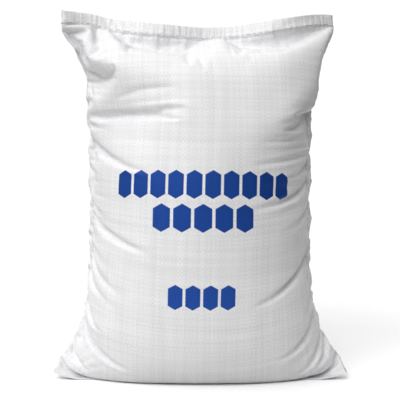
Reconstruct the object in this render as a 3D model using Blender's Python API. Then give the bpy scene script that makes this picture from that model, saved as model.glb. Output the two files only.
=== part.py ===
"""A 25 kg sack of sugar, standing upright.

The sack is a flat tube of woven polypropylene, sewn shut at both ends and filled.
It is built the way the tube deforms: every thread round the tube keeps its length, so
where the sack is deep it is narrow, and where it is pressed flat it is wide.  That gives
the two ears on the floor and the two peaked corners at the hem.

Metres, +Z up, +X to the right, the printed face towards -Y.  The origin is the middle of
the base on the floor.
"""

import math

import bmesh
import bpy
import numpy as np

MM = 0.001

# Sizes of the filled sack
BODY_HALF_WIDTH = 171 * MM      # at the upright sides
BODY_HALF_DEPTH = 122 * MM
EAR_HALF_WIDTH = 228 * MM       # bottom corners, the width of the flat tube
CORNER_HALF_WIDTH = 211 * MM    # top corners
TOP_EDGE_MIDDLE = 545 * MM      # the hem sags this low between its corners
TOP_EDGE_SAG = 23 * MM
HEM_HEIGHT = 17.5 * MM
HEM_HALF_THICKNESS = 1.5 * MM

# The hem is no straight line: seen from above, its corners turn to the front and the back
HEM_TURN = 35 * MM              # how far each corner stands off the middle plane
HEM_WAVE = 12 * MM
HEM_OFFSET = -5 * MM
HEM_TURN_START = 440 * MM       # below this height the sack is level from side to side

# Foot
FOOT_TAPER = 33 * MM            # each panel slopes in this much towards the floor
FOOT_TAPER_HEIGHT = 260 * MM
FOOT_ROUND = 36 * MM            # and rounds under by this much
FOOT_ROUND_HEIGHT = 17 * MM
EAR_TIP_HEIGHT = 12 * MM
EAR_HEIGHT = 172 * MM           # the flare of the ears ends here
EAR_ROW_RISE = 20 * MM          # threads climb this much from the panel to the ear
EAR_ROW_RISE_END = 230 * MM

# Shoulder, above the sugar
SHOULDER_START = 280 * MM       # the panels curve in towards the hem from here
SHOULDER_PUFF = 4 * MM          # the sides swell a little below the pinch
CORNER_START = 470 * MM         # the sides flare out towards the corners from here
SIDE_SWING = 20 * MM            # the side creases swing against the turn of the hem

# Folds
TUCK_DEPTH = 11 * MM
PUCKER_DEPTH = 2.2 * MM
PUCKER_PITCH = 34 * MM
NICK_HEIGHT = 391 * MM
NICK_DEPTH = 6 * MM
EAR_CREASE_DEPTH = 5 * MM

# Closing thread
THREAD_RADIUS = 0.7 * MM
THREAD_GAP = 0.3 * MM           # neighbouring solids never touch
THREAD_HEIGHT_ON_HEM = 2.5 * MM

PANEL_COLUMNS = 40              # facets across each panel

SEAM_HEIGHT = TOP_EDGE_MIDDLE - HEM_HEIGHT


def ease(start, end, x):
    """0 below start, 1 above end, smooth in between."""
    t = np.clip((x - start) / (end - start), 0, 1)
    return t * t * (3 - 2 * t)


def bump(centre, width, x):
    return np.exp(-((x - centre) / width) ** 2)


# ---------------------------------------------------------------- the sack's form

def half_depth(h):
    """Half the depth of the panel's middle, h above the floor."""
    taper = FOOT_TAPER * np.clip(1 - h / FOOT_TAPER_HEIGHT, 0, 1) ** 2
    below = BODY_HALF_DEPTH - taper - FOOT_ROUND * math.exp(-h / FOOT_ROUND_HEIGHT)
    climb = np.clip((h - SHOULDER_START) / (SEAM_HEIGHT - SHOULDER_START), 0, 1)
    return max(below * (1 - climb ** 4.4), HEM_HALF_THICKNESS)


def middle_plane(u, h):
    """Y of the surface half way between the panels, which turns with the hem."""
    turn = HEM_TURN * u ** 3 + HEM_WAVE * math.sin(2.2 * math.pi * u + 0.6) + HEM_OFFSET
    swing = SIDE_SWING * math.copysign(u ** 4, u) * bump(460 * MM, 32 * MM, h)
    return turn * ease(HEM_TURN_START, SEAM_HEIGHT, h) - swing


def ear_flare(z):
    """1 at the tips of the ears, 0 where the upright sides begin."""
    return np.clip(1 - (z - EAR_TIP_HEIGHT) / (EAR_HEIGHT - EAR_TIP_HEIGHT), 0, 1) ** 2.2


def half_width(z):
    """Half the width at the side creases, at height z of the crease."""
    ears = (EAR_HALF_WIDTH - BODY_HALF_WIDTH) * ear_flare(z)
    puff = SHOULDER_PUFF * ease(395 * MM, 440 * MM, z)
    corner = CORNER_HALF_WIDTH - BODY_HALF_WIDTH - SHOULDER_PUFF
    return BODY_HALF_WIDTH + ears + puff + corner * ease(CORNER_START, 556 * MM, z)


def crease_rise(h):
    """How much higher a thread lies at the side creases than in the panel's middle."""
    at_ears = EAR_ROW_RISE * np.clip(1 - h / EAR_ROW_RISE_END, 0, 1)
    at_ears -= (EAR_ROW_RISE - EAR_TIP_HEIGHT) * np.clip(1 - h / (20 * MM), 0, 1)
    return at_ears + TOP_EDGE_SAG * ease(440 * MM, 500 * MM, h)


def roundness(h, z):
    """0 where the tube is pressed flat, 1 where the sugar rounds it."""
    fullness = (half_depth(h) / BODY_HALF_DEPTH) ** 0.65
    return fullness * (1 - 0.85 * ear_flare(z))


def folds(u, h, side):
    """How far the folds push a point in towards the middle, along X and along Y."""
    edge = abs(u)
    hand = 1 if u > 0 else -1
    # triangular tuck under each top corner, deeper on the right
    lean = (edge - 0.86) + (h - 497 * MM) / (260 * MM)
    tuck = TUCK_DEPTH * (1.15 if hand > 0 else 1) * bump(0, 0.055, lean)
    tuck *= bump(492 * MM, 24 * MM, h) * (1 - ease(0.93, 1, edge))
    # small puckers down both sides, where the crease is longer than the height it fills
    phase = 0.8 * math.sin(19 * h) + 1.3 * side + 0.6 * hand
    pucker = PUCKER_DEPTH * math.sin(2 * math.pi * h / PUCKER_PITCH + phase)
    pucker *= ease(0.55, 0.85, edge) * ease(70 * MM, 120 * MM, h) * (1 - ease(440 * MM, 480 * MM, h))
    # one sharper nick in the left side
    nick = NICK_DEPTH * bump(NICK_HEIGHT, 7 * MM, h) * ease(0.7, 1, edge) * (hand < 0)
    # crease that starts inside each ear and runs down to the floor
    slope = (edge - 0.86) - (h - 40 * MM) / (700 * MM)
    crease = EAR_CREASE_DEPTH * bump(0, 0.035, slope) * bump(45 * MM, 34 * MM, h)
    return nick + 0.5 * max(pucker, 0), tuck + pucker * (1 - ease(0.9, 1, edge)) + crease


def lift_power(h):
    """The base is flat almost out to the ears; higher threads sag evenly."""
    return 2 + 4 * (1 - ease(0, 40 * MM, h))


def hem_point(u, h, off):
    """A point of the hem's even band, off its middle along the band's own normal."""
    nudge = 0.001
    rise = middle_plane(u + nudge, h) - middle_plane(u - nudge, h)
    slope = rise / (2 * nudge * CORNER_HALF_WIDTH)
    length = math.hypot(1, slope)
    z = h + crease_rise(h) * u ** 2
    x = half_width(h + crease_rise(h)) * u
    return x - off * slope / length, middle_plane(u, h) + off / length, z


def sack_point(u, h, side):
    """A point of the sack: u from -1 to 1 across, h up the panel, side -1 front, 1 back."""
    z_crease = h + crease_rise(h)
    a, b, f = half_width(z_crease), half_depth(h), roundness(h, z_crease)
    if h > SEAM_HEIGHT - 1e-9:
        return hem_point(u, h, side * b * min(1, 8 * (1 - abs(u))))
    angle = 0.5 * math.pi * u
    x = a * ((1 - f) * u + f * math.sin(angle))
    y = b * max(math.cos(angle), 0) ** (1.1 - 0.25 * ease(440 * MM, 500 * MM, h))
    spread = np.clip((abs(u) - 0.7) / 0.3, 0, 1) ** 2 if h == 0 else abs(u) ** lift_power(h)
    z = h + crease_rise(h) * spread
    if h > 0:
        in_x, in_y = folds(u, h, side)
        x -= math.copysign(in_x, x)
        y = max(y - in_y * min(1, y / (25 * MM)), 0)
    return x, middle_plane(u, h) + side * y, z


def row_heights():
    """Heights of the rows of facets, closer together at the foot and under the hem."""
    foot = np.array([0, 3, 8, 16, 26]) * MM
    body = np.linspace(38 * MM, 430 * MM, 32)
    neck = np.linspace(440 * MM, SEAM_HEIGHT, 13)
    return [*foot, *body, *neck, TOP_EDGE_MIDDLE]


def make_sack():
    """Rings of points from floor to hem, skinned, and closed at both ends."""
    bm = bmesh.new()
    across = [1 - 2 * k / PANEL_COLUMNS for k in range(PANEL_COLUMNS + 1)]
    round_tube = [(u, 1) for u in across] + [(u, -1) for u in across[-2:0:-1]]
    rings = [[bm.verts.new(sack_point(u, h, side)) for u, side in round_tube]
             for h in row_heights()]
    n = len(round_tube)
    for lower, upper in zip(rings, rings[1:]):
        for i in range(n):
            j = (i + 1) % n
            bm.faces.new((lower[i], lower[j], upper[j], upper[i]))
    for ring in (rings[0], rings[-1]):
        for i in range(n // 2):
            back = ring[i], ring[i + 1]
            front = ring[-i - 1], ring[(n - i) % n]
            corners = list(dict.fromkeys((*back, *front)))
            bm.faces.new(corners)
    bmesh.ops.triangulate(bm, faces=bm.faces)
    bmesh.ops.recalc_face_normals(bm, faces=bm.faces)
    mesh = bpy.data.meshes.new("sack")
    bm.to_mesh(mesh)
    bm.free()
    mesh.shade_smooth()
    mesh.set_sharp_from_angle(angle=math.radians(50))
    return bpy.data.objects.new("sack", mesh)


# ---------------------------------------------------------------- closing thread

def make_thread(name, side):
    """One run of the thread that sews the hem, laid along the hem's face."""
    h = SEAM_HEIGHT + THREAD_HEIGHT_ON_HEM
    off = side * (HEM_HALF_THICKNESS + THREAD_GAP + THREAD_RADIUS)
    curve = bpy.data.curves.new(name, "CURVE")
    curve.dimensions = "3D"
    curve.bevel_depth = THREAD_RADIUS
    curve.bevel_resolution = 2
    curve.use_fill_caps = True
    spline = curve.splines.new("POLY")
    run = np.linspace(-0.96, 0.96, 33)
    spline.points.add(len(run) - 1)
    for point, u in zip(spline.points, run):
        point.co = (*hem_point(u, h, off), 1)
    return bpy.data.objects.new(name, curve)


# ---------------------------------------------------------------- materials and scene

def material(name, colour, roughness_value):
    mat = bpy.data.materials.new(name)
    mat.use_nodes = True
    shader = mat.node_tree.nodes["Principled BSDF"]
    shader.inputs["Base Color"].default_value = (*colour, 1)
    shader.inputs["Roughness"].default_value = roughness_value
    shader.inputs["Metallic"].default_value = 0
    return mat


def main():
    for old in list(bpy.data.objects):
        bpy.data.objects.remove(old)
    parts = bpy.data.collections.new("sugar_sack")
    bpy.context.scene.collection.children.link(parts)
    woven = material("woven_polypropylene", (0.80, 0.81, 0.83), 0.5)
    thread = material("closing_thread", (0.86, 0.86, 0.85), 0.7)
    pieces = [(make_sack(), woven),
              (make_thread("closing_thread_front", -1), thread),
              (make_thread("closing_thread_back", 1), thread)]
    for piece, mat in pieces:
        piece.data.materials.append(mat)
        parts.objects.link(piece)


main()
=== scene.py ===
# %% [markdown]
# # A sack of sugar
#
# The sack is a flat tube of woven plastic tape, filled, sewn shut and stood on end. Its
# plain solid already has the right size and stance. This lesson dresses it: a woven tube is
# relaxed over its filling, its two hems get their layers, and stitches, a weave, a printed
# pattern and light follow. Everything is in metres, +Z is up, and the printed face looks
# along -Y.

# %% Load the frame
import math
import time

import bpy
import numpy as np
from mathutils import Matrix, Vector


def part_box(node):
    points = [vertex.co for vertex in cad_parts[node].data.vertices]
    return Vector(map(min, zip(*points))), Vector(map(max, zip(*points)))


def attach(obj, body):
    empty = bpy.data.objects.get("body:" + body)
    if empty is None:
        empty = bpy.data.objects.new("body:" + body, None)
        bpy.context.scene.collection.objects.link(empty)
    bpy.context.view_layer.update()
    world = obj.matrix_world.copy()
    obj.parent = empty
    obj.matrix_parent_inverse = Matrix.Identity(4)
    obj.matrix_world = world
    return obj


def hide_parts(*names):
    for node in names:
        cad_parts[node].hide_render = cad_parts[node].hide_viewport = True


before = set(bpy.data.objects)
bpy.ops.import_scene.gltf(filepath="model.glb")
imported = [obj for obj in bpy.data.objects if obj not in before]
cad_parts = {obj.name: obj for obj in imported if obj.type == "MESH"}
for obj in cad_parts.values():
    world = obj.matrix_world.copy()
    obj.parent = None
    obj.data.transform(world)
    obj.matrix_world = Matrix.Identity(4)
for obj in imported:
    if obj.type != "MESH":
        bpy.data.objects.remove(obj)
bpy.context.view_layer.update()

sack_low, sack_high = (np.array(corner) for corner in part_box("sack"))
print("the solid spans", sack_low.round(3), "to", sack_high.round(3))

# %% [markdown]
# ## The camera
#
# A long lens from almost two metres, a little above the middle of the sack, keeps its
# sides parallel, the way a pack is usually pictured.

# %% Camera
VIEW_HEIGHT = 0.279
VIEW_DISTANCE = 1.90
VIEW_TILT = math.radians(4.5)

target = Vector((0, 0, VIEW_HEIGHT))
back_off = Vector((0, -math.cos(VIEW_TILT), math.sin(VIEW_TILT))) * VIEW_DISTANCE
camera = bpy.data.objects.new("camera", bpy.data.cameras.new("camera"))
camera.data.lens = 110
camera.location = target + back_off
camera.rotation_euler = (target - camera.location).to_track_quat("-Z", "Y").to_euler()
bpy.context.scene.collection.objects.link(camera)
bpy.context.scene.camera = camera
print("camera at", [round(c, 3) for c in camera.location])

# %% [markdown]
# ## The cloth, flat
#
# Woven tape hardly stretches, so lengths decide the form of a filled sack: every thread
# round the tube stays twice as long as the flat tube is wide. Blender's Cloth could look
# for that form, but a tall heavy tube keeps sagging in it for hundreds of frames. Here the
# cloth is a grid of points in numpy, and a few short rules pull neighbouring points to
# their distance in the weave, over and over, until the sack is at rest.
#
# Column 0 is the right side crease. The back comes first, then the left crease at half the
# columns, then the front. The first and last rows are the two sewn hems.

# %% Sizes of the tube
FLAT_WIDTH = 0.457               # from crease to crease when pressed flat
FLAT_HEIGHT = 0.655              # from seam to seam
COLUMNS, ROWS = 64, 40           # the first, coarse grid; it is halved twice
HEM = FLAT_HEIGHT / ROWS


def across(columns):
    """Where each column lies between the creases: 1 at the right one, -1 at the left."""
    place = np.arange(columns) / (columns / 2)
    return np.where(place <= 1, 1 - 2 * place, 2 * place - 3)


# %% A first guess of the shape
def oval(half_depth, count):
    """Points round an oval whose outline is as long as the tube."""
    t = np.linspace(0, 2 * np.pi, 1441)
    c, s = np.cos(t), np.sin(t)
    thin, wide = 0.02, FLAT_WIDTH / 2
    for _ in range(30):
        half_width = (thin + wide) / 2
        x = half_width * np.sign(c) * np.abs(c) ** 0.87
        y = half_depth * np.sign(s) * np.abs(s) ** 0.87
        run = np.concatenate([[0], np.cumsum(np.hypot(np.diff(x), np.diff(y)))])
        if run[-1] > 2 * FLAT_WIDTH:
            wide = half_width
        else:
            thin = half_width
    at = np.arange(count) / count * run[-1]
    return np.interp(at, run, x), np.interp(at, run, y)


def first_guess():
    """Ovals, stacked from the floor to the hem."""
    grid = np.zeros((3, COLUMNS, ROWS + 3))
    deepest = (sack_high[1] - sack_low[1]) / 2
    for row in range(ROWS + 3):
        up = np.clip((row - 1) / ROWS, 0, 1)
        deep = max(deepest * (1 - abs(2 * up - 1) ** 2.4) ** 0.6, 0.001)
        grid[0, :, row], grid[1, :, row] = oval(deep, COLUMNS)
        grid[2, :, row] = 0.002 + 0.55 * np.clip((up - 0.1) / 0.9, 0, 1) ** 0.95
    grid[1, :, 0] *= 0.2
    grid[1, :, 0] -= HEM
    grid[2, :, -1] += HEM
    return grid.astype(np.float32)


cloth = first_guess()
print("coarse grid:", cloth.shape[1], "columns,", cloth.shape[2], "rows")

# %% [markdown]
# ## Rules of the weave
#
# Each rule moves pairs of points towards, or away from, each other. Pairs that share no
# point are moved together, which keeps numpy fast and the result the same on every run.

# %% Tapes keep their length
def pull_together(a, b, rest, pull, push):
    """How far a and b each move so that their distance comes closer to rest."""
    gap = b - a
    length = np.sqrt((gap * gap).sum(axis=0)) + 1e-9
    miss = 1 - rest / length
    return gap * (miss * np.where(miss > 0, pull / 2, push / 2)).astype(gap.dtype)


def pairs_up(p):
    """Rows with the rows above them, the even ones first and then the odd ones."""
    for first in (0, 1):
        count = (p.shape[2] - first) // 2
        last = first + 2 * count
        yield p[:, :, first:last:2], p[:, :, first + 1:last:2]


def tie_round(p, column, push=0.9):
    even, odd = p[:, 0::2], p[:, 1::2]
    move = pull_together(even, odd, column, 1, push)
    even += move
    odd -= move
    move = pull_together(odd, np.roll(even, -1, 1), column, 1, push)
    odd += move
    even -= np.roll(move, 1, 1)


def tie_up(p, row, push=0.9):
    for below, above in pairs_up(p):
        move = pull_together(below, above, row, 1, push)
        below += move
        above -= move


# %% Diagonals give way
def tie_across(p, column, row, pull=0.2, push=0.14):
    """A weave shears easily, so its diagonals are tied only weakly."""
    diagonal = math.hypot(column, row)
    for below, above in pairs_up(p):
        for side in (1, -1):
            move = pull_together(below, np.roll(above, -side, 1), diagonal, pull, push)
            below += move
            above -= np.roll(move, side, 1)


# %% Tape is stiff
def stiffen(p, column, row, keep=0.93, strength=0.3):
    """Points two apart can't come too close, so the cloth bends and doesn't crease."""
    _, columns, rows = p.shape
    fours = p.reshape(3, columns // 4, 4, rows)
    for k in range(4):
        a = fours[:, :, k]
        wraps = k > 1
        b = np.roll(fours[:, :, k - 2], -1, 1) if wraps else fours[:, :, k + 2]
        move = pull_together(a, b, 2 * column * keep, 0, strength)
        a += move
        fours[:, :, (k + 2) % 4] -= np.roll(move, 1, 1) if wraps else move
    for k in range(4):
        b = p[:, :, k + 2:rows:4]
        a = p[:, :, k:rows - 2:4][:, :, :b.shape[2]]
        move = pull_together(a, b, 2 * row * keep, 0, strength)
        a += move
        b -= move


# %% Which way is out
def outward(p):
    """Outward directions, longer where the cloth is stretched."""
    side = np.roll(p, -1, 1) - np.roll(p, 1, 1)
    up = np.empty_like(p)
    up[:, :, 1:-1] = p[:, :, 2:] - p[:, :, :-2]
    up[:, :, 0] = p[:, :, 1] - p[:, :, 0]
    up[:, :, -1] = p[:, :, -1] - p[:, :, -2]
    return np.cross(side, up, axis=0)


def litres(p):
    """What the tube holds, summed over its faces."""
    p = p.astype(float)
    after = np.roll(p, -1, 1)
    a, b, c, d = p[:, :, :-1], after[:, :, :-1], after[:, :, 1:], p[:, :, 1:]
    six = (a * np.cross(b, c, axis=0)).sum() + (a * np.cross(c, d, axis=0)).sum()
    return 1000 * six / 6


print(f"the first guess holds {litres(cloth):.1f} l")

# %% [markdown]
# ## The cloth, filled
#
# Sugar presses outwards more the deeper it lies, and less towards front and back, where it
# leans on itself, than a liquid would. Above the sugar a little trapped air presses evenly.
# The seam lies on the floor, the hem is held where a filled sack's hem stands, and the two
# side creases are drawn to the outline of the solid. A crease is shorter on the filled sack
# than it is flat: that surplus is what gathers the sides into small slanted folds.

# %% How the sack is held
FILL_HEIGHT = 0.44
AIR = 0.06                       # against 1 for the press at the floor
PRESSURE = np.array([1.0, 0.42, 1.0], np.float32)[:, None, None]
HEM_CORNER = 0.211               # half the width at the hem
SEAM_MIDDLE = 0.528
SEAM_RISE = [                    # how far the seam rises above that, across the sack
    (-1, 0.0235), (-0.8, 0.021), (-0.63, 0.0115), (-0.34, 0.005), (0, 0),
    (0.24, 0.002), (0.45, 0.008), (0.6, 0.013), (0.8, 0.0205), (1, 0.0235)]
EAR_LIFT = 0.011
FLOOR = 0.001


def ease(start, end, x):
    t = np.clip((x - start) / (end - start), 0, 1)
    return t * t * (3 - 2 * t)


def outline(z):
    """Half the distance between the creases at height z."""
    ears = 0.061 * np.clip(1 - (z - 0.012) / 0.160, 0, 1) ** 2.2
    return 0.167 + ears + 0.003 * ease(0.395, 0.440, z) + 0.041 * ease(0.475, 0.556, z)


heights = np.linspace(0.012, 0.5505, 400)
crease_run = np.hypot(np.diff(heights), np.diff(outline(heights)))
crease_run = np.concatenate([[0], np.cumsum(crease_run)])
print(f"a crease is {crease_run[-1]:.3f} m long, its tape {FLAT_HEIGHT:.3f} m")

# %% The hems
def hem_goals(columns, hem_rows):
    """Where the top hem stands: its seam sags, and its corners turn front and back."""
    u = across(columns)
    y = 0.035 * u ** 3 + 0.012 * np.sin(2.2 * np.pi * u + 0.6)
    rise = np.interp(u, *zip(*SEAM_RISE))
    seam = np.array([HEM_CORNER * u, y, SEAM_MIDDLE + rise])
    return seam, seam + np.array([[0], [0.0065], [0.0165]])


def hold_hems(p, hem_rows, row, goals):
    """Presses both hems flat, lays one on the floor and leads the other to its place."""
    columns, rows = p.shape[1:]
    back, front = p[:, 1:columns // 2], p[:, :columns // 2:-1]
    for band in (slice(0, hem_rows + 1), slice(rows - hem_rows - 1, rows)):
        middle = (back[:, :, band] + front[:, :, band]) / 2
        back[:, :, band] = middle
        front[:, :, band] = middle
    for at, goal in zip((rows - 1 - hem_rows, rows - 1), goals):
        p[:, :, at] += 0.05 * (goal - p[:, :, at])
    flap_y = (np.arange(hem_rows + 1) - hem_rows) * row
    flap_z = FLOOR + EAR_LIFT * np.clip((np.abs(across(columns)) - 0.8) / 0.2, 0, 1) ** 1.5
    p[1, :, :hem_rows + 1] += 0.2 * (flap_y - p[1, :, :hem_rows + 1])
    p[2, :, :hem_rows + 1] = flap_z[:, None]
    np.maximum(p[2], FLOOR, out=p[2])


# %% Front and back stay apart
def part_faces(p, hem_rows, gap=0.0008):
    half = p.shape[1] // 2
    body = slice(hem_rows + 1, p.shape[2] - hem_rows - 1)
    back, front = p[1, 1:half, body], p[1, :half:-1, body]
    crossed = np.maximum(front - back + gap, 0) / 2
    front -= crossed
    back += crossed


# %% The side creases
def guide_creases(p, hem_rows, column, inward, upward, pinch=0.15):
    """Draws each crease to the outline, shortens it evenly and keeps its edge folded."""
    columns, rows = p.shape[1:]
    u = across(columns)
    near = np.exp(-((1 - np.abs(u)) * FLAT_WIDTH / 2 / 0.012) ** 2)[:, None]
    body = p[:, :, hem_rows + 1:rows - hem_rows - 1]
    body[0] += (outline(body[2]) * np.sign(u)[:, None] - body[0]) * near * inward
    share = np.linspace(0, 1, rows - 2 * hem_rows)
    goal = np.interp(share * crease_run[-1], crease_run, heights)
    tall = p[2, :, hem_rows:rows - hem_rows]
    tall += (goal - tall) * near * upward
    for crease in (0, columns // 2):
        for j in range(1, round(0.016 / column) + 1):
            a, b = body[:, (crease + j) % columns], body[:, crease - j]
            move = pull_together(a, b, 0.9 * j * column, pinch, 0)
            a += move
            b -= move


# %% Fill it and let it rest
def settle(p, hem_rows, steps, step, inward, upward):
    """Fills the sack and lets it come to rest."""
    _, columns, rows = p.shape
    column, row = 2 * FLAT_WIDTH / columns, HEM / hem_rows
    goals = hem_goals(columns, hem_rows)
    drift = np.zeros_like(p)
    for _ in range(steps):
        before = p.copy()
        press = np.maximum(np.clip(1 - p[2] / FILL_HEIGHT, 0, 1) ** 0.7, AIR)
        press[:, :hem_rows + 1] = press[:, rows - hem_rows - 1:] = 0
        force = press * outward(p) / (4 * column * row) * PRESSURE
        p += 0.9 * drift + step * force
        p[2] -= 0.02 * step
        for _ in range(8):
            tie_round(p, column)
            tie_up(p, row)
            tie_across(p, column, row)
            stiffen(p, column, row)
            part_faces(p, hem_rows)
            guide_creases(p, hem_rows, column, inward, upward)
            hold_hems(p, hem_rows, row, goals)
        lying = p[2] <= FLOOR + 0.0001
        for axis in (0, 1):
            p[axis][lying] += 0.3 * (before[axis] - p[axis])[lying]
        drift = p - before
    return p


# %% From a coarse grid to a fine one
def more_columns(p):
    """Twice as many columns, on a smooth curve through the old ones."""
    _, n, r = p.shape
    wide = np.empty((3, 2 * n, r), p.dtype)
    wide[:, 0::2] = p
    near = p + np.roll(p, -1, 1)
    far = np.roll(p, 1, 1) + np.roll(p, -2, 1)
    wide[:, 1::2] = (9 * near - far) / 16
    return wide


def more_rows(p):
    """Twice as many rows."""
    _, n, r = p.shape
    tall = np.empty((3, n, 2 * r - 1), p.dtype)
    tall[:, :, 0::2] = p
    between = (p[:, :, :-1] + p[:, :, 1:]) / 2
    between[:, :, 1:-1] += (p[:, :, 1:-2] + p[:, :, 2:-1]) / 16
    between[:, :, 1:-1] -= (p[:, :, :-3] + p[:, :, 3:]) / 16
    tall[:, :, 1::2] = between
    return tall


# %% Relax it at three sizes of grid
LEVELS = [                       # steps, uneven by, inward and upward guide of the creases
    (300, 0.0008, 0.03, 0.05),
    (120, 0.0002, 0.01, 0.01),
    (60, 0.0001, 0.005, 0.007),
]

started = time.time()
rng = np.random.default_rng(14)
hem_rows = 1
for level, (steps, uneven, inward, upward) in enumerate(LEVELS):
    if level:
        cloth = more_rows(more_columns(cloth))
        hem_rows *= 2
    cloth += rng.normal(0, uneven, cloth.shape).astype(np.float32)
    cloth = settle(cloth, hem_rows, steps, 0.0003 / 2 ** level, inward, upward)
    print(f"level {level}: {litres(cloth):.1f} l after {time.time() - started:.0f} s")

# %% [markdown]
# ## Small puckers
#
# What the relaxed grid is too coarse for is drawn on it: the short tucks that run in from
# both creases, and the fans of longer ones that start at the ears. Each is a narrow valley
# between two soft shoulders along a straight line on the flat cloth.

# %% Places on the flat cloth
cloth = more_rows(cloth)
hem_rows *= 2
_, columns, rows = cloth.shape
row_height = HEM / hem_rows
width_from = (1 - np.abs(across(columns))) * FLAT_WIDTH / 2
is_back = np.arange(columns) < columns / 2
from_crease = np.where(is_back, -width_from, width_from)[:, None]   # positive on the front
flat_rows = (np.arange(rows) - hem_rows) * row_height
is_right = (across(columns) > 0)[:, None]


# %% One tuck
def unit(v):
    return v / np.maximum(np.sqrt((v * v).sum(axis=0)), 1e-7)


def tuck(start, end, width, depth):
    """The relief of one tuck; its ends are (distance from the crease, height)."""
    (x, y), (run, rise) = start, (end[0] - start[0], end[1] - start[1])
    length = math.hypot(run, rise)
    along = ((from_crease - x) * run + (flat_rows - y) * rise) / length / length
    aside = ((from_crease - x) * rise - (flat_rows - y) * run) / length
    fade = np.clip(1 - (2 * along - 1) ** 2, 0, 1) ** 1.5
    wide = width * (0.5 + fade)
    valley = np.exp(-(aside / wide) ** 2)
    shoulders = np.exp(-(aside / wide / 2.5) ** 2)
    return depth * fade * (0.45 * shoulders - valley)


# %% Gather the sides and the ears
TUCKS = 110                      # beside each crease
FAN = 9                          # from each ear, on the front and on the back

relief_map = np.zeros((columns, rows))
for side in (is_right, ~is_right):
    for height in np.linspace(0.02, FLAT_HEIGHT - 0.06, TUCKS):
        middle, reach = rng.uniform(-0.045, 0.045), rng.uniform(0.015, 0.05)
        lean, y = rng.uniform(-0.35, 0.35) * reach, height + rng.normal(0, 0.004)
        relief_map += side * tuck((middle - reach, y - lean), (middle + reach, y + lean),
                                  rng.uniform(0.0018, 0.0032), rng.uniform(0.0003, 0.0011))
    for face in (1, -1):
        for angle in np.linspace(0.15, 1.25, FAN) + rng.normal(0, 0.05, FAN):
            near, far = rng.uniform(0.008, 0.03), rng.uniform(0.07, 0.15)
            way = np.array([face * math.cos(angle), math.sin(angle)])
            relief_map += side * tuck(way * near, way * far,
                                      rng.uniform(0.002, 0.004), rng.uniform(0.0006, 0.0018))
body_only = np.interp(np.arange(rows), [hem_rows, hem_rows + 8, rows - hem_rows - 20,
                                        rows - hem_rows - 4], [0, 1, 1, 0])
cloth += unit(outward(cloth)) * relief_map * body_only
print("deepest tuck:", round(-relief_map.min() * 1000, 1), "mm")

# %% [markdown]
# ## From points to fabric
#
# Both hems are still pressed to nothing. The top one gets the thickness of a folded mouth:
# front and back move apart, the folded layer ends in a raw edge a little below the seam,
# and the upper edge is rounded. The stitches gather the band into fine upright ribs. The
# bottom hem is a thin flap, folded under the front.

# %% Thickness of the hems
TOP_HALF = 0.0011                # half the thickness of the sewn mouth
FOLD = 0.0010                    # the layer folded over its front
FOLD_DROP = 0.0030               # how far its raw edge hangs below the seam
FOOT_HALF = 0.0005
RIBS = 0.0004


def lay_over_flap(p, hem_rows):
    """Lifts the front, where it lies on the bottom hem, clear of it."""
    columns = p.shape[1]
    front = p[:, columns // 2 + 1:, hem_rows + 1:]
    flap_top = p[2, columns // 2 + 1:, hem_rows:hem_rows + 1] + FOOT_HALF + 0.0004
    over = (front[1] > -HEM - 0.004) & (front[2] < flap_top)
    front[2] = np.where(over, flap_top, front[2])


def fold_edge(p, row, beyond, half):
    """Two rows that close a hem's edge: rounded, and beyond the last row."""
    along = unit(p[:, :, row] - p[:, :, beyond]) * half
    middle = (p[:, :, row] + np.roll(p[:, ::-1, row], 1, 1)) / 2
    out = p[:, :, row] - middle
    return [(middle + out * 0.8 + along * 0.6)[:, :, None],
            (middle + out * 0.3 + along)[:, :, None]]


# %% Ribs and layers
seam_row = rows - 1 - hem_rows
part_faces(cloth, hem_rows, 2 * TOP_HALF)
lay_over_flap(cloth, hem_rows)
out = unit(outward(cloth))
uneven = rng.normal(0, RIBS, columns)
uneven = (uneven - np.roll(uneven[::-1], 1)) / 2        # the same for front and back
gathered = np.interp(np.arange(rows), [seam_row - 16, seam_row], [0, 1])
cloth += out * uneven[:, None] * gathered
cloth[:, :, seam_row:] += out[:, :, seam_row:] * TOP_HALF
cloth[:, :, :hem_rows + 1] += out[:, :, :hem_rows + 1] * FOOT_HALF

# %% The raw edge of the folded layer
is_front = (np.arange(columns) > columns / 2)[:, None]
share = FOLD_DROP / row_height
under = (cloth[:, :, seam_row] * (1 - share) + cloth[:, :, seam_row - 1] * share)[:, :, None]
fold = out[:, :, seam_row:] * FOLD * is_front
cloth[:, :, seam_row:] += fold
raw = under + fold[:, :, :1] + np.array([0, 0, 0.0002])[:, None, None]
fabric = np.concatenate([
    *fold_edge(cloth, 0, 1, FOOT_HALF)[::-1], cloth[:, :, :seam_row], under, raw,
    cloth[:, :, seam_row:], *fold_edge(cloth, -1, -2, TOP_HALF + FOLD / 2)], axis=2)
fabric[1] -= 0.005                 # the belly stands evenly about the middle
fabric[2] -= fabric[2].min()
print("fabric:", fabric.shape[1], "columns,", fabric.shape[2], "rows")

# %% Where each row lies on the flat cloth
flat_up = np.concatenate([
    flat_rows[0] - np.array([0.001, 0.0005]), flat_rows[:seam_row],
    flat_rows[seam_row] - np.array([FOLD_DROP, FOLD_DROP - 0.0002]),
    flat_rows[seam_row:], flat_rows[-1] + np.array([0.0005, 0.001])])


# %% The mesh
def tube_faces(n, r):
    """Quads of the tube, and the caps that close its two flat ends."""
    faces = [(j * n + i, j * n + (i + 1) % n, (j + 1) * n + (i + 1) % n, (j + 1) * n + i)
             for j in range(r - 1) for i in range(n)]
    for i in range(n // 2):
        strip = (i, i + 1, n - i - 1, (n - i) % n)
        corners = [c for k, c in enumerate(strip) if c not in strip[:k]]
        faces.append(tuple((r - 1) * n + c for c in corners))
        faces.append(tuple(reversed(corners)))
    return faces


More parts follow.
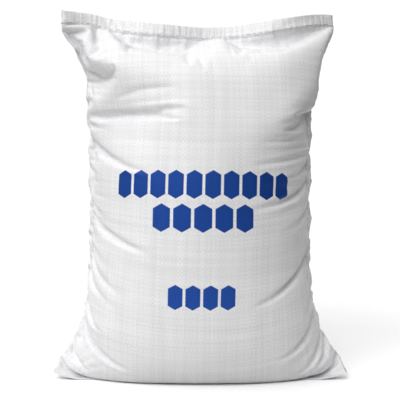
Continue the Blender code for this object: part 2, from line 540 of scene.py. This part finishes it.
def cloth_mesh(name, p, flat_up):
    """A mesh of the tube whose UV map is its flat cloth, in metres."""
    _, n, r = p.shape
    mesh = bpy.data.meshes.new(name)
    mesh.from_pydata(p.transpose(2, 1, 0).reshape(-1, 3).tolist(), [], tube_faces(n, r))
    mesh.shade_smooth()
    corner = np.empty(len(mesh.loops), np.int32)
    mesh.loops.foreach_get("vertex_index", corner)
    turn = (corner % n).astype(float)
    first = np.array([polygon.loop_start for polygon in mesh.polygons])
    total = np.diff(np.append(first, len(corner)))
    wraps = np.repeat(np.maximum.reduceat(turn, first), total) > n - 1.5
    turn[wraps & (turn < n / 4)] += n
    flat = np.stack([turn / n * 2 * FLAT_WIDTH, flat_up[corner // n]], axis=1)
    uv = mesh.uv_layers.new(name="flat_cloth")
    uv.data.foreach_set("uv", flat.astype(np.float32).ravel())
    obj = bpy.data.objects.new(name, mesh)
    bpy.context.scene.collection.objects.link(obj)
    return obj


sack = cloth_mesh("sack_fabric", fabric, flat_up)
print("sack mesh:", len(sack.data.polygons), "faces")

# %% [markdown]
# ## Writing shader maths in Python
#
# A `Value` wraps a socket and knows the arithmetic operators, and a `Tree` adds any other
# node in one call. The material cells below then read like formulas.

# %% Values and nodes
class Value:
    """A number that a node tree computes at every point."""

    def __init__(self, tree, socket):
        self.tree, self.socket = tree, socket

    def math(self, operation, *others):
        inputs = dict(enumerate((self, *others)))
        return self.tree.node("ShaderNodeMath", inputs, operation=operation)

    def __add__(self, other):
        return self.math("ADD", other)

    def __sub__(self, other):
        return self.math("SUBTRACT", other)

    def __rsub__(self, other):
        return self.math("MULTIPLY_ADD", -1, other)

    def __mul__(self, other):
        return self.math("MULTIPLY", other)

    def __truediv__(self, other):
        return self.math("DIVIDE", other)

    def __mod__(self, other):
        return self.math("FLOORED_MODULO", other)

    def __abs__(self):
        return self.math("ABSOLUTE")

    __radd__, __rmul__ = __add__, __mul__

    def smooth(self, start, end):
        """0 below start, 1 above end, eased between them; falls if start is above end."""
        settings = {"From Min": start, "From Max": end, "Value": self}
        return self.tree.node("ShaderNodeMapRange", settings, interpolation_type="SMOOTHSTEP")


# %% Node trees
class Tree:
    """A node tree, to which node() adds one node and links or sets its inputs."""

    def __init__(self, nodes_and_links):
        self.nodes, self.links = nodes_and_links.nodes, nodes_and_links.links

    def feed(self, node, inputs):
        for key, value in inputs.items():
            if isinstance(value, Value):
                self.links.new(value.socket, node.inputs[key])
            else:
                node.inputs[key].default_value = value

    def node(self, kind, inputs, output=0, **settings):
        made = self.nodes.new(kind)
        for key, value in settings.items():
            setattr(made, key, value)
        self.feed(made, inputs)
        return Value(self, made.outputs[output]) if made.outputs else made


class Shader(Tree):
    """The tree of a material with one Principled shader."""

    def __init__(self, name):
        self.material = bpy.data.materials.new(name)
        self.material.use_nodes = True
        super().__init__(self.material.node_tree)

    def finish(self, **inputs):
        """Sets the Principled shader's sockets; an underscore stands for a space."""
        named = {key.replace("_", " "): value for key, value in inputs.items()}
        self.feed(self.nodes["Principled BSDF"], named)
        return self.material


# %% [markdown]
# ## The woven cloth
#
# The tapes of the weave cross over and under. On the flat cloth, one square in two shows
# the upright tape and the others the level one. Each tape has its own tone, the way
# stretched plastic tape comes out of the loom.

# %% Weave
TAPE = 0.0029                    # width of one tape

woven = Shader("woven_tape")
flat = woven.node("ShaderNodeUVMap", {}, uv_map="flat_cloth")
u = woven.node("ShaderNodeSeparateXYZ", {0: flat}, 0)
v = woven.node("ShaderNodeSeparateXYZ", {0: flat}, 1)


def noise(shader, x, y, seed, detail=0.0):
    """Smooth noise between 0 and 1 over two values."""
    at = shader.node("ShaderNodeCombineXYZ", {0: x, 1: y, 2: seed})
    return shader.node("ShaderNodeTexNoise", {"Vector": at, "Scale": 1.0, "Detail": detail})


def tape_tone(index, along, seed):
    """One tone a tape, which drifts slowly along it."""
    each = woven.node("ShaderNodeTexWhiteNoise", {"W": index + seed}, noise_dimensions="1D")
    drift = noise(woven, index * 0.37, along * 9, seed)
    return each * 0.6 + drift * 0.8 - 0.7


column, line = (u / TAPE).math("FLOOR"), (v / TAPE).math("FLOOR")
inside_u, inside_v = u / TAPE - column, v / TAPE - line
upright_on_top = (column + line) % 2
arch_u = (inside_u * math.pi).math("SINE")
arch_v = (inside_v * math.pi).math("SINE")
flat_u = 1 - (inside_u * 2 - 1).math("POWER", 6)
flat_v = 1 - (inside_v * 2 - 1).math("POWER", 6)
upright, level_ = arch_v * flat_u, arch_u * flat_v
relief = upright * upright_on_top + level_ * (1 - upright_on_top)
tone = (tape_tone(column, v, 3.1) * upright_on_top
        + tape_tone(line, u, 7.7) * (1 - upright_on_top))

# %% Print
INK = (0.003, 0.060, 0.340, 1)
PRINT_MIDDLE = 0.75 * 2 * FLAT_WIDTH
MARKS = [                        # height on the cloth, count, pitch, width, height
    (0.380, 10, 0.0265, 0.0225, 0.042),
    (0.331, 5, 0.0300, 0.0255, 0.042),
    (0.214, 4, 0.0250, 0.0210, 0.038),
]
SAG = 0.5                        # how much a row hangs at its ends, per metre squared


def crystals(height, count, pitch, width, tall):
    """A row of upright hexagons, 1 inside them."""
    x = u - PRINT_MIDDLE
    y = abs(v - height + x * x * SAG)
    x = x + count * pitch / 2
    step = (x / pitch).math("FLOOR").math("MAXIMUM", 0).math("MINIMUM", count - 1)
    x = abs(x - (step + 0.5) * pitch)
    side = (x - width / 2).smooth(0.0003, -0.0003)
    slope = (y + x * 0.58 - tall / 2).smooth(0.0004, -0.0004)
    return side * slope


ink = crystals(*MARKS[0]) + crystals(*MARKS[1]) + crystals(*MARKS[2])

# %% Cloth material
white = woven.node("ShaderNodeCombineColor", {
    0: 0.86 + tone * 0.16, 1: 0.86 + tone * 0.16, 2: 0.87 + tone * 0.16})
coloured = woven.node("ShaderNodeMix", {0: ink, 6: white, 7: INK}, 2, data_type="RGBA")
hem = (v - FLAT_HEIGHT + 0.014).smooth(0, 0.006)
ribs = noise(woven, u * 260, v * 14, 5.5) * hem
crease = abs((u / FLAT_WIDTH) % 1 - 0.5).smooth(0.30, 0.48)
lines = noise(woven, u * 16, v * 150, 9.2, 2.0) * crease
height = relief * 0.00022 + tone * 0.0001 + ribs * 0.0012 + lines * 0.0006
bump = woven.node("ShaderNodeBump", {"Height": height, "Distance": 1.0, "Strength": 1.0})
material = woven.finish(
    Base_Color=coloured, Metallic=ink * 0.5, Roughness=0.46 - 0.06 * tone, Normal=bump)
sack.data.materials.append(material)
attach(sack, "root")
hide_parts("sack")

# %% [markdown]
# ## The closing stitches
#
# Geometry Nodes lays one bent length of thread after another along the seam. On the front
# they are single dashes. On the back each is a loop of two strands, because the closing
# machine sews a chain. The result is kept as a plain mesh.

# %% Thread
THREAD_RADIUS = 0.0006
PITCH = 0.0095

thread = Shader("closing_thread")
thread_place = thread.node("ShaderNodeTexCoord", {}, "Object")
fluff = thread.node("ShaderNodeTexNoise", {"Vector": thread_place, "Scale": 1500.0})
fluff = thread.node("ShaderNodeBump", {"Height": fluff * 0.0003, "Distance": 1.0})
thread_material = thread.finish(Base_Color=(0.84, 0.84, 0.83, 1), Roughness=0.6, Normal=fluff)


# %% A node group that sews
def sewing(name, tilts):
    """Stitches along a line of points; tilts turns each of a stitch's strands."""
    group = bpy.data.node_groups.new(name, "GeometryNodeTree")
    inputs = {"Line": ("Geometry", None), "Pitch": ("Float", PITCH),
              "Thread Radius": ("Float", THREAD_RADIUS), "Unevenness": ("Float", 0.06)}
    for label, (kind, value) in inputs.items():
        socket = group.interface.new_socket(name=label, socket_type="NodeSocket" + kind)
        if value is not None:
            socket.default_value = value
    group.interface.new_socket(name="Stitches", in_out="OUTPUT",
                               socket_type="NodeSocketGeometry")
    tree = Tree(group)
    given = group.nodes.new("NodeGroupInput")
    line, pitch, radius, unevenness = (Value(tree, given.outputs[k]) for k in inputs)
    curve = tree.node("GeometryNodeMeshToCurve", {0: line})
    curve = tree.node("GeometryNodeResampleCurve", {0: curve, "Length": pitch}, mode="LENGTH")
    reach, sink = pitch * 0.43, radius * -1.2
    start = tree.node("ShaderNodeCombineXYZ", {0: reach * -1, 2: sink})
    middle = tree.node("ShaderNodeCombineXYZ", {2: radius * 2.6})
    end = tree.node("ShaderNodeCombineXYZ", {0: reach, 2: sink})
    bend = tree.node("GeometryNodeCurveQuadraticBezier",
                     {"Start": start, "Middle": middle, "End": end, "Resolution": 8})
    circle = tree.node("GeometryNodeCurvePrimitiveCircle", {"Radius": radius, "Resolution": 8})
    strand = tree.node("GeometryNodeCurveToMesh",
                       {"Curve": bend, "Profile Curve": circle, "Fill Caps": True})
    along = tree.node("GeometryNodeInputTangent", {})
    outwards = tree.node("GeometryNodeInputNamedAttribute", {"Name": "outwards"},
                         data_type="FLOAT_VECTOR")
    turned = tree.node("FunctionNodeAlignRotationToVector", {"Vector": along}, axis="X")
    turned = tree.node("FunctionNodeAlignRotationToVector",
                       {"Rotation": turned, "Vector": outwards}, axis="Z", pivot_axis="X")
    joined = group.nodes.new("GeometryNodeJoinGeometry")
    for seed, tilt in enumerate(tilts):
        chance = tree.node("FunctionNodeRandomValue", {2: -1.0, 3: 1.0, "Seed": seed}, 1)
        twist = tree.node("ShaderNodeCombineXYZ", {2: chance * unevenness + tilt})
        rotation = tree.node("FunctionNodeRotateRotation",
                             {0: turned, 1: twist}, rotation_space="LOCAL")
        copies = tree.node("GeometryNodeInstanceOnPoints", {
            "Points": curve, "Instance": strand, "Rotation": rotation})
        group.links.new(copies.socket, joined.inputs[0])
    real = tree.node("GeometryNodeRealizeInstances", {0: Value(tree, joined.outputs[0])})
    made = tree.node("GeometryNodeSetMaterial", {0: real, "Material": thread_material})
    tree.node("NodeGroupOutput", {0: made})
    return group


# %% Sew the seam
def sew(name, replaced, seam, outwards, tilts):
    """Lays stitches along the seam and keeps them as a plain mesh."""
    mesh = bpy.data.meshes.new(name)
    count = len(seam)
    mesh.from_pydata(seam.tolist(), [(i, i + 1) for i in range(count - 1)], [])
    attribute = mesh.attributes.new("outwards", "FLOAT_VECTOR", "POINT")
    attribute.data.foreach_set("vector", outwards.astype(np.float32).ravel())
    line = bpy.data.objects.new(name + "_line", mesh)
    bpy.context.scene.collection.objects.link(line)
    line.modifiers.new("sew", "NODES").node_group = sewing(name, tilts)
    ready = line.evaluated_get(bpy.context.evaluated_depsgraph_get())
    stitches = bpy.data.objects.new(name, bpy.data.meshes.new_from_object(ready))
    bpy.context.scene.collection.objects.link(stitches)
    bpy.data.objects.remove(line)
    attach(stitches, "root")
    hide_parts(replaced)
    print(name, len(stitches.data.polygons), "faces")


seam_out = out[:, :, seam_row]
seam_points = fabric[:, :, seam_row + 4] + seam_out * THREAD_RADIUS * 0.5
for name, replaced, side, tilts in (
        ("stitches_front", "closing_thread_front", slice(columns // 2 + 4, -4), (0,)),
        ("stitches_back", "closing_thread_back", slice(4, columns // 2 - 4), (0.16, -0.16))):
    sew(name, replaced, seam_points[:, side].T, seam_out[:, side].T, tilts)

# %% [markdown]
# ## Floor and light
#
# The floor is a pale disc that fades out before its edge, so that it meets the backdrop
# without a line. Light bouncing off it takes a darker colour than the floor shows, which
# paints shade on the sack's foot. The world lights the sack from the left more than from
# the right, and two soft boxes shape it. A third lights only the floor.

# %% Floor
FLOOR_RADIUS = 1.1
PAPER = (0.9, 0.9, 0.9, 1)
PAPER_BOUNCE = (0.55, 0.55, 0.55, 1)    # what reaches the sack, so that its foot stays darker

bpy.ops.mesh.primitive_circle_add(vertices=96, radius=FLOOR_RADIUS, fill_type="NGON")
floor = bpy.context.object
floor.name = "floor"
paper = Shader("paper")
place = paper.node("ShaderNodeTexCoord", {}, "Object")
far = paper.node("ShaderNodeVectorMath", {0: place}, "Value", operation="LENGTH")
# Bounced light gets PAPER_BOUNCE, darker than the PAPER the camera sees: painted shade on the
# sack's foot.
bounced = paper.node("ShaderNodeLightPath", {}, "Is Diffuse Ray")
paper_with_dim_bounce = paper.node("ShaderNodeMix", {0: bounced, 6: PAPER, 7: PAPER_BOUNCE}, 2, data_type="RGBA")
floor.data.materials.append(paper.finish(
    Base_Color=paper_with_dim_bounce, Roughness=0.9, Specular_IOR_Level=0.1,
    Alpha=far.smooth(1.05, 0.55)))


# %% Soft boxes
def softbox(name, turn, lift, distance, size, power):
    """A square soft light, aimed at the sack; turn and lift are seen from the sack."""
    lamp = bpy.data.lights.new(name, "AREA")
    lamp.size = size
    lamp.energy = power
    obj = bpy.data.objects.new(name, lamp)
    turn, lift = math.radians(turn), math.radians(lift)
    level = Vector((math.sin(turn), -math.cos(turn), 0)) * math.cos(lift)
    way = level + Vector((0, 0, math.sin(lift)))
    obj.location = way * distance + Vector((0, 0, 0.2))
    obj.rotation_euler = (-way).to_track_quat("-Z", "Y").to_euler()
    bpy.context.scene.collection.objects.link(obj)
    return obj


softbox("left_key", -48, 34, 2.4, 1.6, 17)
softbox("front_fill", -13, 38, 2.4, 1.6, 22)
floor_light = softbox("floor_light", 180, 60, 3.4, 3.0, 12)
floor_only = bpy.data.collections.new("floor_only")
floor_only.objects.link(floor)
floor_light.light_linking.receiver_collection = floor_only
print("soft boxes:", [lamp.name for lamp in bpy.data.lights])

# %% World
GLOWS = [                        # from where, starting how near to it, how strong
    ((0, 0, 1), 0, 0.55),
    ((-0.5, 0, 0.85), 0.3, 0.58),
    ((0, 1, 0), 0.3, 1.04),      # as from a lit backdrop
]
BACKDROP_SEEN = 1.05

bpy.context.scene.world = bpy.data.worlds.new("studio")
bpy.context.scene.world.use_nodes = True
studio = Tree(bpy.context.scene.world.node_tree)
way = studio.node("ShaderNodeTexCoord", {}, "Generated")


def glow(direction, start, strength):
    """Light that comes from round one direction and fades to the sides."""
    direction = Vector(direction).normalized()
    facing = studio.node("ShaderNodeVectorMath", {0: way, 1: direction}, "Value",
                         operation="DOT_PRODUCT")
    return studio.node("ShaderNodeMapRange", {
        "Value": facing, "From Min": start, "To Max": strength})


light = glow(*GLOWS[0]) + glow(*GLOWS[1]) + glow(*GLOWS[2])
seen = studio.node("ShaderNodeLightPath", {}, "Is Camera Ray")
strength = studio.node("ShaderNodeMix", {0: seen, 2: light, 3: BACKDROP_SEEN})
studio.feed(studio.nodes["Background"], {"Color": (1, 1, 1, 1), "Strength": strength})
bpy.context.scene.view_settings.view_transform = "Standard"
